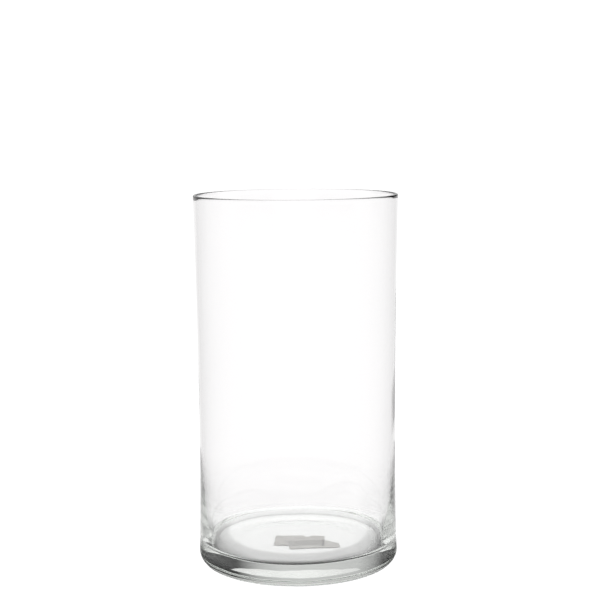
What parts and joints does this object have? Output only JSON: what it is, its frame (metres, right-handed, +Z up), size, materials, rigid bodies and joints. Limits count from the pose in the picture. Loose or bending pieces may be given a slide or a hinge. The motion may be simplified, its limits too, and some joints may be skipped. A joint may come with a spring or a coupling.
{
  "type": "glass cylinder vase",
  "caption": "Clear glass cylinder vase with a thick heavy base, an open rounded lip and small paper stickers under the foot.",
  "frame": {"origin": "centre of the foot ring, on the surface that the vase stands on", "axes": "+Z up along the vase's axis, out through the mouth; +X to the right and +Y away from the viewer in the front view"},
  "size_m": [0.15, 0.15, 0.275],
  "materials": {
    "clear_glass": "fire-polished clear soda-lime glass with a faint green-grey tint where it is thick",
    "price_paper": "matt self-adhesive label paper, slightly yellowed",
    "stock_paper": "matt self-adhesive label paper"
  },
  "bodies": {
    "root": {"glass_vessel": "clear_glass", "price_sticker": "price_paper", "stock_sticker": "stock_paper"}
  },
  "joints": []
}
